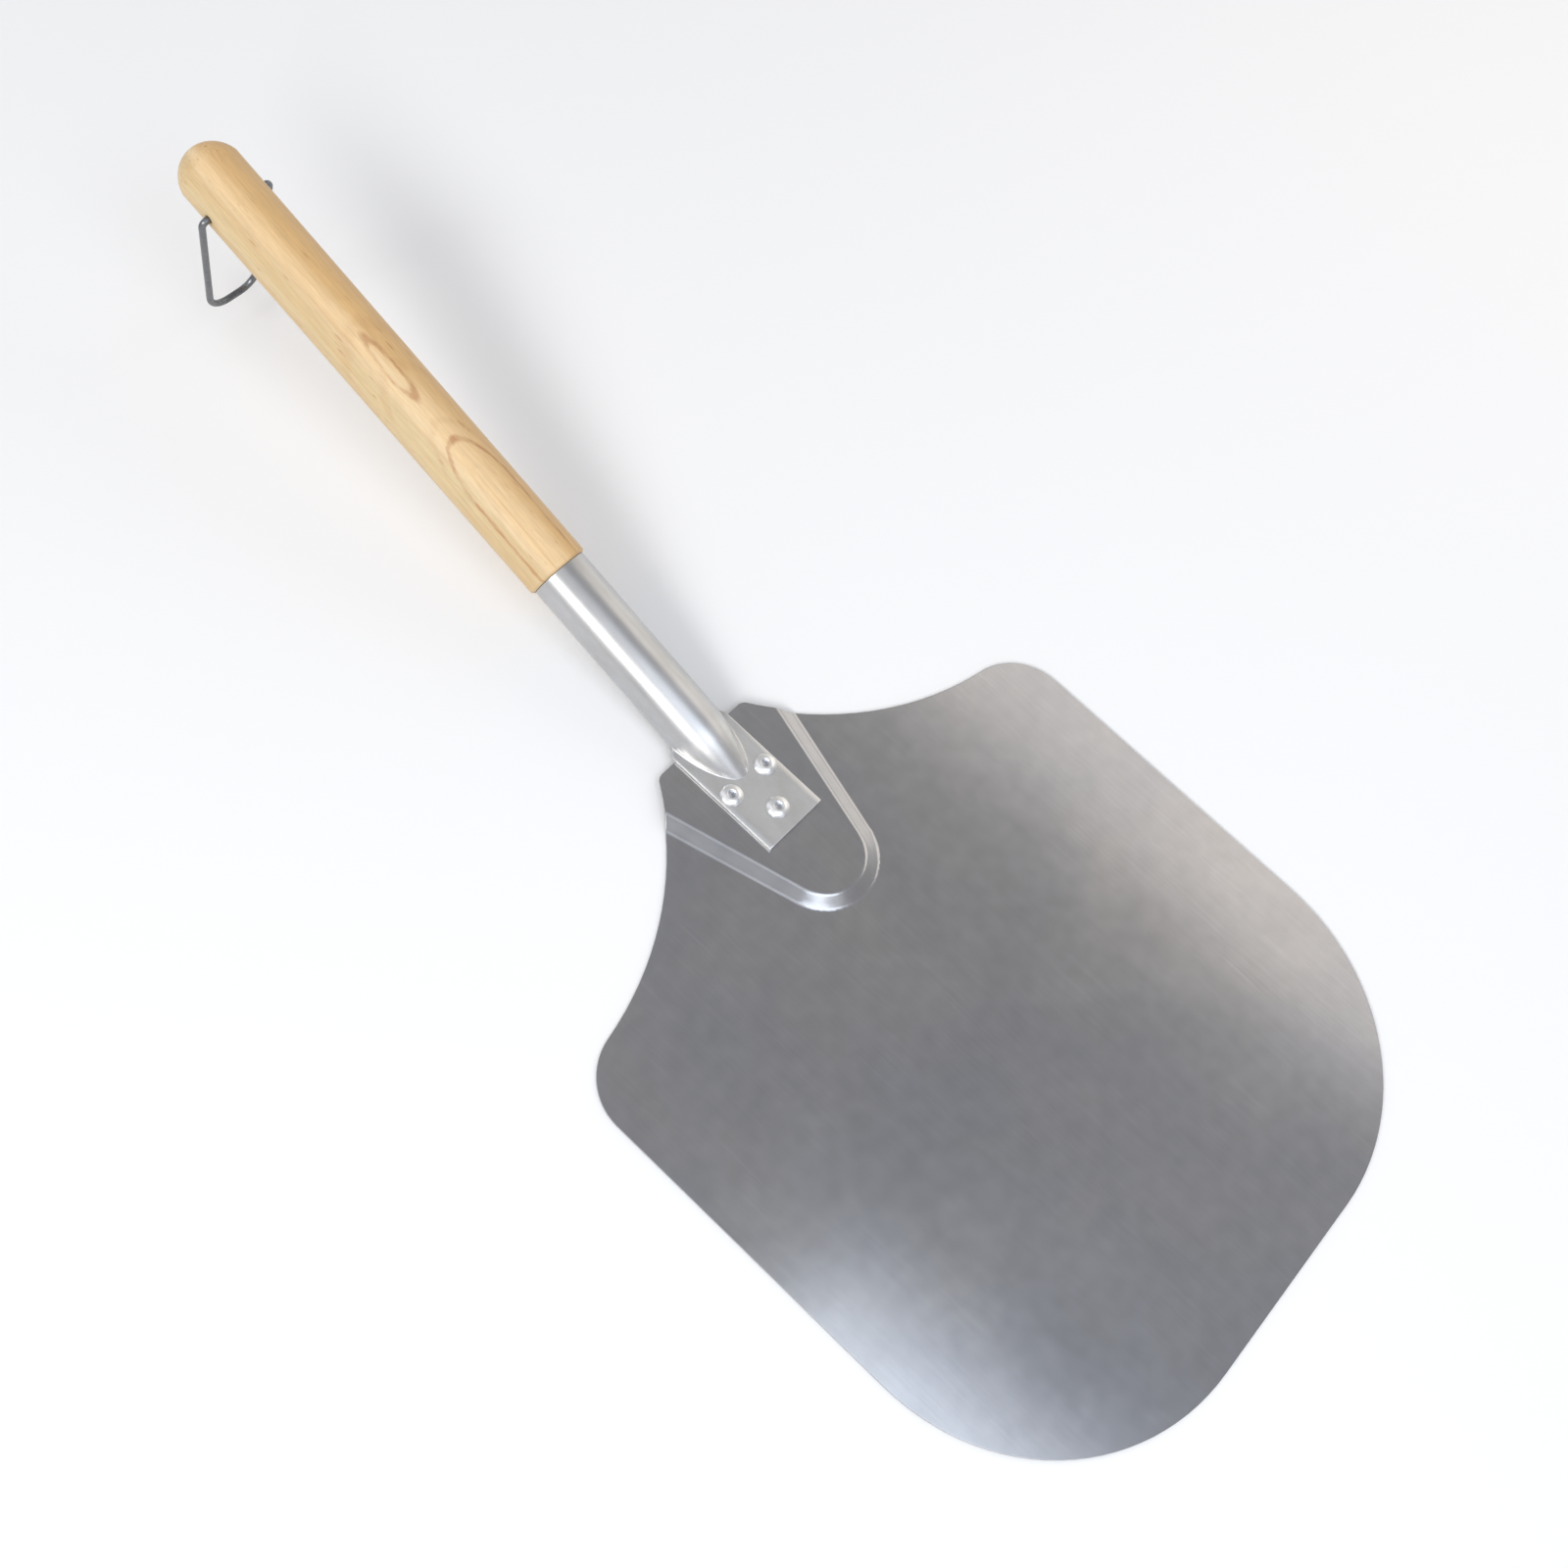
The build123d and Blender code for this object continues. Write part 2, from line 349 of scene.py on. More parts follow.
def finishPiece(piece, body, nodeName, material, smoothAngle):
    makeActive(piece)
    bpy.ops.object.shade_smooth_by_angle(angle=math.radians(smoothAngle))
    piece.data.materials.clear()
    piece.data.materials.append(material)
    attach(piece, body)
    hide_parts(nodeName)
    print(piece.name, "done:", len(piece.data.polygons), "faces")


def steps(start, end, count):          # even steps that leave out the start
    return [start + (end - start) * step / count for step in range(1, count + 1)]


def quarterTurn(count):
    return [math.pi / 2 * step / count for step in range(count + 1)]


def easing(amount, count):             # how far a rounded edge draws in and falls back, as it turns
    return [(amount * (1 - math.sin(turn)), amount * (1 - math.cos(turn))) for turn in quarterTurn(count)]


def arcPoints(radius, centre, turns):
    x, y = centre
    return [(x + radius * math.cos(turn), y + radius * math.sin(turn)) for turn in turns]


# blade: the pressed sheet, with its cut rim eased
bladeSize = {
    "rimEase": 0.0003,
    "rimSteps": 2,
    "flatAngle": 0.2,               # degrees, under which faces count as one
    "uprightFace": 0.3,             # a rim edge has a face whose normal rises less than this
    "levelFace": 0.8,               # and one whose normal rises more than this
    "rivetsHalf": 0.016,            # the rivets' holes lie in this stretch, and stay sharp
    "rivetsStart": 0.010,
    "rivetsEnd": 0.056,
    "smoothAngle": 40,
}


def isRim(edge):
    size = bladeSize
    if len(edge.link_faces) != 2:
        return False
    upright, level = sorted(abs(face.normal.z) for face in edge.link_faces)
    middle = (edge.verts[0].co + edge.verts[1].co) / 2
    ahead = middle.y - neckY
    nearRivets = abs(middle.x) < size["rivetsHalf"] and size["rivetsStart"] < ahead < size["rivetsEnd"]
    return upright < size["uprightFace"] and level > size["levelFace"] and not nearRivets


def makeBlade(material):
    size = bladeSize
    blade = bpy.data.objects.new("pressedBlade", frame["nodes"]["blade"].data.copy())
    bpy.context.scene.collection.objects.link(blade)
    makeActive(blade)
    bpy.ops.mesh.customdata_custom_splitnormals_clear()
    bpy.ops.object.mode_set(mode="EDIT")
    bpy.ops.mesh.select_all(action="SELECT")
    bpy.ops.mesh.remove_doubles(threshold=mergeGap)
    bpy.ops.mesh.dissolve_limited(angle_limit=math.radians(size["flatAngle"]))
    selectEdges(blade, isRim)
    bpy.ops.mesh.bevel(offset=size["rimEase"], segments=size["rimSteps"])
    bpy.ops.object.mode_set(mode="OBJECT")
    finishPiece(blade, "peel", "blade", material, size["smoothAngle"])
    applyModifier(blade, "WEIGHTED_NORMAL", keep_sharp=True)


# socket: a tube pressed flat at its front end, round the same axis as the handle
socketSize = {
    "radius": 0.01375,
    "bore": 0.01245,
    "boreTip": (0.00498, 0.012),    # radius and place at which the bore's narrowing front ends
    "mouth": 0.097,                 # from the tang's rear edge, along the axis
    "mouthEase": 0.0004,
    "tangHalf": 0.0173,
    "tangLength": 0.059,
    "noseLength": 0.027,
    "noseRunIn": 0.008,             # where the crown starts to bow down to the nose
    "crease": 0.0010,               # radius in the corner between the nose and the tang
    "edge": 0.0004,                 # rounding of the tang's layers
    "edgeCut": 0.3,                 # how much of it a corner loses at 45 degrees
    "groove": 0.00035,              # between the tang's two layers
    "shoulder": 0.008,              # where the tang's corners swell out of the tube
    "flattening": 0.040,            # where the underside starts to go flat
    "roundSide": 60,                # degrees that the side points reach down where the tube is round
    "archSteps": 22, "creaseSteps": 6, "wingSteps": 6, "floorSteps": 10, "mouthSteps": 3,
    "tubeRings": 10,                # in each of two stretches: to the shoulder, and to the tang
    "noseRings": ((-0.023, 16), (-0.029, 8), (-0.034, 1)),    # as far as this, in so many rings
    "frontRings": (                 # setback of the front edge, and how far sides and faces draw in
        (0.001, 0, 0), (0.0004, 0.0002, 0), (0.00012, 0.0005, 0.00012), (0, 0.001, 0.0004),
    ),
    "smoothAngle": 38,
}


def noseRadius(back):
    size = socketSize
    reach = size["noseRunIn"] + size["noseLength"] * math.cos(slope)
    drop = size["radius"] - size["noseLength"] * math.sin(slope)
    bow = (reach**2 + drop**2) / (2 * drop)
    ahead = max(0, size["noseRunIn"] - back)
    return size["radius"] - (bow - math.sqrt(bow**2 - ahead**2))


def easeIn(value):
    value = min(1, max(0, value))
    return value * value * (3 - 2 * value)


def blendPoints(first, second, share):
    return tuple(a + (b - a) * share for a, b in zip(first, second))


def edgeOutline(half, top):             # the tang's two rounded layer edges, from top to bottom
    size = socketSize
    ease, middle, thick = size["edge"], top - wall, 2 * wall
    cut = size["edgeCut"] * ease
    rounded = [(half - ease, top), (half - cut, top - cut), (half, top - ease)]
    groove = [(half, middle + ease / 2), (half - size["groove"], middle), (half, middle - ease / 2)]
    lower = [(x, 2 * top - thick - y) for x, y in reversed(rounded)]
    return rounded + groove + lower


def pressedPoints(creaseX, turn, top, floor):     # crease, wing, edge and floor of the pressed tang
    size = socketSize
    crease, half, flatEnd = size["crease"], size["tangHalf"], size["tangHalf"] - size["edge"]
    creaseTurns = steps(math.pi + turn, math.pi * 3 / 2, size["creaseSteps"])
    corner = arcPoints(crease, (creaseX, top + crease), creaseTurns)
    wing = [(x, top) for x in steps(creaseX, flatEnd, size["wingSteps"])[:-1]]
    under = [(x, floor) for x in steps(flatEnd, 0, size["floorSteps"])]
    return corner + wing + edgeOutline(half, top) + under


def roundPoints(radius, turn, floor, count):      # as many points where the tube is still round
    size = socketSize
    lowest = -math.radians(size["roundSide"])
    edgeTurn = max(lowest, math.asin(min(1, max(-1, floor / radius))))
    side = arcPoints(radius, (0, 0), steps(turn, edgeTurn, count - size["floorSteps"]))
    across = steps(radius * math.cos(edgeTurn), 0, size["floorSteps"])
    return side + [(x, max(floor, -math.sqrt(radius**2 - x**2))) for x in across]


def socketSection(back):                # half of one ring, from the crown to the middle of the floor
    size = socketSize
    radius = noseRadius(back)
    top = -back * math.tan(slope)       # the tang's top face, seen in the ring's own plane
    floor = top - 2 * wall / math.cos(slope)
    lift = top + size["crease"]
    creaseX = math.sqrt(max((radius + size["crease"])**2 - lift**2, 0))
    turn = math.atan2(lift, creaseX)
    crown = math.pi / 2
    arch = arcPoints(radius, (0, 0), [crown] + steps(crown, turn, size["archSteps"]))
    pressed = pressedPoints(creaseX, turn, top, floor)
    rounded = roundPoints(radius, turn, floor, len(pressed))
    swell = easeIn((size["shoulder"] - back) / size["shoulder"])
    return arch + [blendPoints(first, second, swell) for first, second in zip(rounded, pressed)]


def bothSides(half):
    return half + [(-x, y) for x, y in reversed(half[1:-1])]


def wholeRing(half, back):              # at one distance along the axis
    return [Vector((x, y, back)) for x, y in bothSides(half)]


def roundRing(radius, back):            # as many points as a pressed ring, on a circle
    half = socketSection(socketSize["flattening"])
    return wholeRing(arcPoints(radius, (0, 0), [math.atan2(y, x) for x, y in half]), back)


def frontRing(setback, sideInset, faceInset):     # an upright ring near the tang's front edge
    length, widest = socketSize["tangLength"], socketSize["tangHalf"] - sideInset
    rise, run = math.sin(slope), math.cos(slope)
    lowest, highest = faceInset - 2 * wall, -faceInset
    half = []
    for x, y in socketSection(-length):
        level = (y - length * math.tan(slope)) * run
        half.append((min(x, widest), min(max(level, lowest), highest)))
    forward = length - setback
    return [
        Vector((x, forward * rise + level * run, -forward * run + level * rise))
        for x, level in bothSides(half)
    ]


def socketRings():                      # from the bore's front over the mouth to the tang's front edge
    size = socketSize
    mouth, ease, bore, start = size["mouth"], size["mouthEase"], size["bore"], size["flattening"]
    rings = [roundRing(*size["boreTip"]), roundRing(bore, start), roundRing(bore, mouth - ease / 2)]
    rings.append(roundRing(bore + ease / 2, mouth))
    for inward, back in easing(ease, size["mouthSteps"]):
        rings.append(roundRing(size["radius"] - inward, mouth - back))
    backs = [start]
    for end, count in ((size["shoulder"], size["tubeRings"]), (0, size["tubeRings"]), *size["noseRings"]):
        backs += steps(start, end, count)
        start = end
    rings += [wholeRing(socketSection(back), back) for back in backs]
    return rings + [frontRing(*insets) for insets in size["frontRings"]]


def growThrough(piece, rings):          # the open end is extruded, and each new ring takes its shape
    bpy.ops.object.mode_set(mode="EDIT")
    mesh = bmesh.from_edit_mesh(piece.data)
    mesh.verts.ensure_lookup_table()
    ring = list(mesh.verts)
    for vertex, place in zip(ring, rings[0]):
        vertex.co = place
    for places in rings[1:]:
        bpy.ops.mesh.extrude_region_move()
        grown = {}
        for vertex in (v for v in mesh.verts if v.select):
            others = [edge.other_vert(vertex) for edge in vertex.link_edges]
            root = next(other for other in others if not other.select)
            grown[root] = vertex
        ring = [grown[vertex] for vertex in ring]
        for vertex, place in zip(ring, places):
            vertex.co = place
    bmesh.update_edit_mesh(piece.data)
    bpy.ops.mesh.select_all(action="SELECT")
    bpy.ops.mesh.fill_holes(sides=0)
    faceOutwards()


def makeSocket(material):
    rings = socketRings()
    deselectAll()
    bpy.ops.mesh.primitive_circle_add(vertices=len(rings[0]), radius=socketSize["bore"])
    socket = bpy.context.object
    socket.name = "tubeSocket"
    growThrough(socket, rings)
    layOnAxis(socket)
    finishPiece(socket, "peel", "socket", material, socketSize["smoothAngle"])


# rivets: one is turned, and each of the three is a copy
rivetSize = {
    "head": 0.0055, "height": 0.0023, "crownTurn": 60, "crownSteps": 9,
    "dimpleDepth": 0.0008,
    "dimple": (                     # going in: shares of the rim's radius, and of that depth
        (0.88, -0.04), (0.76, 0.08), (0.64, 0.40), (0.50, 0.78), (0.30, 0.97),
    ),
    "poleRise": -0.00001,           # of the dimple's middle, from its last ring
    "shank": 0.0024, "tail": 0.0040, "tailHeight": 0.0015, "tailEase": 0.0004,
    "spacing": 0.0225, "rearRow": 0.0293, "frontRow": 0.0475,
    "sides": 48, "smoothAngle": 50,
}
rivetNodes = {"rivetRight": "rivet_right", "rivetLeft": "rivet_left", "rivetFront": "rivet_front"}


def rivetProfile(size):
    grip = 2 * wall + sheet             # the two layers and the blade under them
    bottom = -grip - size["tailHeight"]
    ease = size["tailEase"]
    profile = [(size["tail"] - ease, bottom), (size["tail"], bottom + ease), (size["tail"], -grip)]
    profile += [(size["shank"], -grip), (size["shank"], 0), (size["head"] - ease / 2, 0)]
    for turn in steps(0, math.radians(size["crownTurn"]), size["crownSteps"]):
        profile.append((size["head"] * math.cos(turn), size["height"] * math.sin(turn)))
    rim, top = profile[-1]
    return profile + [(rim * share, top - size["dimpleDepth"] * fall) for share, fall in size["dimple"]]


def rivetPlaces():
    size = rivetSize
    half, rear, front = size["spacing"] / 2, neckY + size["rearRow"], neckY + size["frontRow"]
    return {"rivetRight": (half, rear), "rivetLeft": (-half, rear), "rivetFront": (0, front)}


def makeRivets(material):
    size = rivetSize
    places = rivetPlaces()
    first = turnedPiece("rivetRight", rivetProfile(size), size["sides"], size["poleRise"])
    rivets = [first]
    for name in list(places)[1:]:
        makeActive(first)
        bpy.ops.object.duplicate()
        bpy.context.object.name = name
        rivets.append(bpy.context.object)
    for rivet in rivets:
        x, y = places[rivet.name]
        rivet.location = (x, y, tangTop)
        applyPlace(rivet)
        finishPiece(rivet, "peel", rivetNodes[rivet.name], material, size["smoothAngle"])


# handle: the grip, and the tenon that sits in the tube
handleSize = {
    "radius": 0.01525, "endDepth": 0.012, "behindHole": 0.0285,
    "shoulder": 0.0016,             # rounding where the grip meets the tube
    "tenon": 0.0124, "tenonLength": 0.052, "chamfer": 0.0015,
    "hole": 0.0017, "holeEase": 0.0009,
    "holeRings": (0.0035, 0.006, 0.012),          # rings of points this far to both sides of the hole
    "easeSteps": 5, "endSteps": 16, "sides": 144, "holeSides": 40, "smoothAngle": 40,
}
loopHole = (hinge - axisStart).dot(axisBack)
handleEnd = loopHole + handleSize["behindHole"]


def roundedEnd(size):
    radius, depth = size["radius"], size["endDepth"]
    endRadius = (radius**2 + depth**2) / (2 * depth)
    rimTurn = math.acos(radius / endRadius)
    turns = [rimTurn] + steps(rimTurn, math.pi / 2, size["endSteps"])[:-1]
    return arcPoints(endRadius, (0, handleEnd - endRadius), turns)


def handleProfile(size):
    mouth, radius, tenon, chamfer = socketSize["mouth"], size["radius"], size["tenon"], size["chamfer"]
    tenonStart = mouth - size["tenonLength"]
    profile = [(tenon - chamfer, tenonStart), (tenon, tenonStart + chamfer), (tenon, mouth)]
    for inward, back in easing(size["shoulder"], size["easeSteps"]):
        profile.append((radius - inward, mouth + back))
    offsets = [-offset for offset in reversed(size["holeRings"])] + list(size["holeRings"])
    profile += [(radius, loopHole + offset) for offset in offsets]
    return profile + roundedEnd(size)


def cutLoopHole(handle, size):          # with both of its mouths eased
    radius, hole, ease = size["radius"], size["hole"], size["holeEase"]
    mouth = [(hole + wider, radius - inward) for inward, wider in easing(ease, size["easeSteps"])]
    mouth.append((hole + 2 * ease, radius + ease))
    farMouth = [(wide, -far) for wide, far in reversed(mouth)]
    cutter = turnedPiece("holeCutter", farMouth + mouth, size["holeSides"])
    cutter.rotation_euler = (0, math.pi / 2, 0)
    cutter.location = (0, 0, loopHole)
    applyPlace(cutter)
    applyModifier(handle, "BOOLEAN", operation="DIFFERENCE", solver="EXACT", object=cutter)
    bpy.data.objects.remove(cutter)


def makeHandle(material):
    size = handleSize
    profile = handleProfile(size)
    handle = turnedPiece("turnedHandle", profile, size["sides"], poleRise=handleEnd - profile[-1][1])
    cutLoopHole(handle, size)
    layOnAxis(handle)
    finishPiece(handle, "peel", "handle", material, size["smoothAngle"])
    applyModifier(handle, "WEIGHTED_NORMAL", keep_sharp=True)


# handle pin: a small nail through the underside of the tube
pinSize = {
    "head": 0.0028, "headHeight": 0.0010, "headSteps": 6,
    "headFlat": 0.35,               # share of the head's radius that is flat on top
    "headRim": 0.25,                # share of its height that is left at the rim
    "headFoot": 0.00028,            # how deep the head is let into the tube
    "shank": 0.0014, "shankStart": 0.0003, "length": 0.014, "point": 0.002, "tip": 0.0003,
    "setback": 0.026,               # from the tube's mouth
    "sides": 40, "smoothAngle": 50,
}


def pinProfile(size):
    head, high, flat, rim = size["head"], size["headHeight"], size["headFlat"], size["headRim"]
    profile = [(flat * head, -high)]
    for turn in quarterTurn(size["headSteps"])[1:]:
        across, up = flat + (1 - flat) * math.sin(turn), rim + (1 - rim) * math.cos(turn)
        profile.append((head * across, -high * up))
    profile += [(head, size["headFoot"]), (size["shank"], size["shankStart"])]
    return profile + [(size["shank"], size["length"] - size["point"]), (size["tip"], size["length"])]


def makePin(material):
    size = pinSize
    pin = turnedPiece("tubePin", pinProfile(size), size["sides"])
    pin.rotation_euler = (-slope, 0, 0)
    pin.location = onAxis(socketSize["mouth"] - size["setback"]) - axisUp * socketSize["radius"]
    applyPlace(pin)
    finishPiece(pin, "peel", "handle_pin", material, size["smoothAngle"])


# hanging loop: one bent wire, its two ends inside the cross hole
loopSize = {
    "wire": 0.0016, "topHalf": 0.0188, "bottomHalf": 0.0135, "drop": 0.073,
    "topBend": 0.003, "bottomBend": 0.011, "topSteps": 12, "bottomSteps": 18,
    "lean": 8,                      # degrees that it rests back from hanging straight down
    "gap": 0.0015,                  # between the wire's ends
    "joinGap": 0.00001,             # under which the two halves join
    "sides": 28, "smoothAngle": 50,
}


def selectedMiddle(piece):
    mesh = bmesh.from_edit_mesh(piece.data)
    places = [vertex.co.copy() for vertex in mesh.verts if vertex.select]
    return sum(places, Vector()) / len(places)


def bendWire(loop, size):               # from one end out of the hole, down a leg and in to the middle
    narrowing = size["topHalf"] - size["bottomHalf"]
    inward = math.atan2(narrowing, size["drop"])
    topTurn, bottomTurn = math.pi / 2 + inward, math.pi / 2 - inward
    topTangent = size["topBend"] * math.tan(topTurn / 2)
    bottomTangent = size["bottomBend"] * math.tan(bottomTurn / 2)
    leg = math.hypot(narrowing, size["drop"]) - topTangent - bottomTangent
    down = Vector((-math.sin(inward), 0, -math.cos(inward)))
    across = Vector((-math.cos(inward), 0, math.sin(inward)))
    extrudeBy((size["topHalf"] - topTangent - size["gap"] / 2, 0, 0))
    centre = selectedMiddle(loop) + Vector((0, 0, -size["topBend"]))
    bpy.ops.mesh.spin(steps=size["topSteps"], angle=-topTurn, center=centre, axis=(0, 1, 0))
    extrudeBy(down * leg)
    centre = selectedMiddle(loop) + across * size["bottomBend"]
    bpy.ops.mesh.spin(steps=size["bottomSteps"], angle=-bottomTurn, center=centre, axis=(0, 1, 0))
    extrudeBy((-selectedMiddle(loop).x, 0, 0))


def makeLoop(material):                 # one half is bent, and then mirrored
    size = loopSize
    deselectAll()
    start, sideways = (size["gap"] / 2, 0, 0), (0, math.pi / 2, 0)
    bpy.ops.mesh.primitive_circle_add(
        vertices=size["sides"], radius=size["wire"], location=start, rotation=sideways
    )
    loop = bpy.context.object
    loop.name = "wireLoop"
    applyPlace(loop)
    bpy.ops.object.mode_set(mode="EDIT")
    bpy.ops.mesh.edge_face_add()
    bendWire(loop, size)
    bpy.ops.mesh.delete(type="ONLY_FACE")
    bpy.ops.object.mode_set(mode="OBJECT")
    applyModifier(loop, "MIRROR", merge_threshold=size["joinGap"])
    bpy.ops.object.mode_set(mode="EDIT")
    bpy.ops.mesh.select_all(action="SELECT")
    bpy.ops.mesh.remove_doubles(threshold=mergeGap)
    faceOutwards()
    loop.rotation_euler = (-math.radians(size["lean"]), 0, 0)
    loop.location = hinge
    applyPlace(loop)
    finishPiece(loop, "loop", "hanging_loop", material, size["smoothAngle"])


# looks: a noise is its scale, detail, roughness and distortion, and a bump its strength and depth
sheetLook = {
    "colour": (0.440, 0.439, 0.448),
    "clouds": (11, 3, 0.55, 0.4),            # faint handling clouds over the rolled sheet
    "cloudEdges": (0.32, 0.68),
    "coolCloud": (0.94, 0.95, 0.975),
    "warmCloud": (1.06, 1.045, 1.02),
    "mottle": (120, 2, 0.4),
    "mottleTone": (0.96, 1.04),
    "mottleBump": (0.010, 0.0002),
    "lines": (800, 2, 0.5),                  # drawn out along the rolling
    "lineStretch": 0.04,
    "lineTone": (0.975, 1.025),
    "lineBump": (0.015, 0.00008),
    "wear": (30, 2, 0.5),
    "rough": (0.17, 0.22),
    "marks": ((0.25, 420, 0.05), (-0.9, 360, 0.04)),     # direction, scale and width of scratches
    "markStretch": 0.03,
    "markNoise": (1, 0.4),
    "markPeak": 0.70,
    "markPatches": (22, 2),
    "markPatchEdges": (0.5, 0.7),
    "markColour": (0.60, 0.60, 0.61),
    "markStrength": 0.11,
}


def scratches(tree, turn, scale, width):     # sparse fine lines, all much the same way
    look = sheetLook
    vector = objectCoordinates(tree, scale=(1, look["markStretch"], 1), turn=(0, 0, turn))
    lines = noise(tree, vector, scale, *look["markNoise"])
    patches = noise(tree, objectCoordinates(tree), *look["markPatches"])
    fine = fade(tree, lines, look["markPeak"] - width, look["markPeak"])
    return maths(tree, "MULTIPLY", fine, fade(tree, patches, *look["markPatchEdges"]))


def rolledSheet():
    look = sheetLook
    material, tree, shader = newMetal("rolledSheet")
    flat = objectCoordinates(tree)
    clouds = noise(tree, flat, *look["clouds"])
    mottle = noise(tree, flat, *look["mottle"])
    lines = noise(tree, objectCoordinates(tree, scale=(1, look["lineStretch"], 1)), *look["lines"])
    tone = ramp(tree, clouds, list(zip(look["cloudEdges"], (look["coolCloud"], look["warmCloud"]))))
    colour = mixColour(tree, "MULTIPLY", 1, opaque(look["colour"]), tone)
    colour = mixColour(tree, "MULTIPLY", 1, colour, spread(tree, mottle, *look["mottleTone"]))
    colour = mixColour(tree, "MULTIPLY", 1, colour, spread(tree, lines, *look["lineTone"]))
    marks = maths(tree, "ADD", *(scratches(tree, *mark) for mark in look["marks"]))
    marks = maths(tree, "MULTIPLY", marks, look["markStrength"])
    colour = mixColour(tree, "MIX", marks, colour, opaque(look["markColour"]))
    tree.links.new(colour, shader.inputs["Base Color"])
    rough = spread(tree, noise(tree, flat, *look["wear"]), *look["rough"])
    tree.links.new(rough, shader.inputs["Roughness"])
    first = bump(tree, shader, lines, *look["lineBump"])
    bump(tree, shader, mottle, *look["mottleBump"], before=first)
    return material


def onTube(tree, scale=(1, 1, 1)):     # coordinates along the tube: x across, y up from it, z back
    source = node(tree, "ShaderNodeTexCoord")
    turned = node(tree, "ShaderNodeMapping", Location=axisStart, Rotation=lyingBack)
    turned.vector_type = "TEXTURE"
    tree.links.new(source.outputs["Object"], turned.inputs["Vector"])
    sized = node(tree, "ShaderNodeMapping", Scale=scale)
    tree.links.new(turned.outputs["Vector"], sized.inputs["Vector"])
    return sized.outputs["Vector"]


def tubeNoise(tree, stretch, *settings):         # the smaller the stretch, the longer it is drawn out
    return noise(tree, onTube(tree, (1, 1, stretch)), *settings)


def tubeParts(tree):
    parts = node(tree, "ShaderNodeSeparateXYZ")
    tree.links.new(onTube(tree), parts.inputs["Vector"])
    return parts.outputs["X"], parts.outputs["Y"], parts.outputs["Z"]


# a noise along the tube has its stretch before the other settings
tubeLook = {
    "colour": (0.57, 0.57, 0.575),
    "pressed": (0.72, 0.72, 0.72),           # the flattened tang is rubbed brighter
    "pressedEdges": (0.006, -0.004),
    "lines": (0.02, 1500, 3, 0.6),
    "lineTone": (0.97, 1.03),
    "lineBump": (0.04, 0.00005),
    "smudges": (0.5, 60, 4, 0.6),
    "smudgeEdges": (0.40, 0.62),
    "smudge": (0.90, 0.895, 0.88),
    "clean": (1.0, 1.0, 1.0),
    "wear": (0.3, 90, 4, 0.65),
    "rough": (0.31, 0.40),
    "dents": (1, 500, 2),
    "dentBump": (0.03, 0.00006),
}


def drawnTube():
    look = tubeLook
    material, tree, shader = newMetal("drawnTube")
    lines = tubeNoise(tree, *look["lines"])
    smudges = tubeNoise(tree, *look["smudges"])
    tone = ramp(tree, smudges, list(zip(look["smudgeEdges"], (look["smudge"], look["clean"]))))
    _, _, back = tubeParts(tree)
    pressed = fade(tree, back, *look["pressedEdges"])
    colour = mixColour(tree, "MIX", pressed, opaque(look["colour"]), opaque(look["pressed"]))
    colour = mixColour(tree, "MULTIPLY", 1, colour, tone)
    colour = mixColour(tree, "MULTIPLY", 1, colour, spread(tree, lines, *look["lineTone"]))
    tree.links.new(colour, shader.inputs["Base Color"])
    rough = spread(tree, tubeNoise(tree, *look["wear"]), *look["rough"])
    tree.links.new(rough, shader.inputs["Roughness"])
    first = bump(tree, shader, lines, *look["lineBump"])
    bump(tree, shader, tubeNoise(tree, *look["dents"]), *look["dentBump"], before=first)
    return material


rivetLook = {
    "colour": (0.90, 0.90, 0.90),
    # painted shade: the dimple hollow in each rivet head is tinted darker and bluer
    "dimpleShade": (0.46, 0.48, 0.53),
    "dimple": (0.0011, 0.0025),              # painted dimple shade, from the rivet's middle: full, and gone
    "dents": (900, 2, 0.5),
    "dentTone": (0.92, 1.05),
    "dentBump": (0.06, 0.0002),
    "rough": (0.26, 0.36),
}


def nearestRivet(tree):                # distance from the middle of the nearest rivet, seen from above
    nearest = 1
    for x, y in rivetPlaces().values():
        away = node(tree, "ShaderNodeVectorMath", operation="DISTANCE")
        away.inputs[1].default_value = (x, y, 0)
        tree.links.new(objectCoordinates(tree, scale=(1, 1, 0)), away.inputs[0])
        nearest = maths(tree, "MINIMUM", away.outputs["Value"], nearest)
    return nearest


def rivetMetal():
    look = rivetLook
    material, tree, shader = newMetal("rivetMetal")
    dents = noise(tree, objectCoordinates(tree), *look["dents"])
    # painted shade in the dimple, fading out from each rivet's middle
    dimpleShading = fade(tree, nearestRivet(tree), *look["dimple"], 1, 0)
    colour = mixColour(tree, "MIX", dimpleShading, opaque(look["colour"]), opaque(look["dimpleShade"]))
    colour = mixColour(tree, "MULTIPLY", 1, colour, spread(tree, dents, *look["dentTone"]))
    tree.links.new(colour, shader.inputs["Base Color"])
    tree.links.new(spread(tree, dents, *look["rough"]), shader.inputs["Roughness"])
    bump(tree, shader, dents, *look["dentBump"])
    return material


wireLook = {
    "pinColour": (0.42, 0.42, 0.43),
    "loopColour": (0.20, 0.205, 0.215),
    "grime": (420, 4, 0.65),
    "grimeTone": (0.78, 1.12),
    "rough": (0.22, 0.36),
    "drawn": (2200, 2),
    "drawnStretch": 0.04,
    "drawnTone": (0.93, 1.07),
    "drawnBump": (0.10, 0.00008),
}


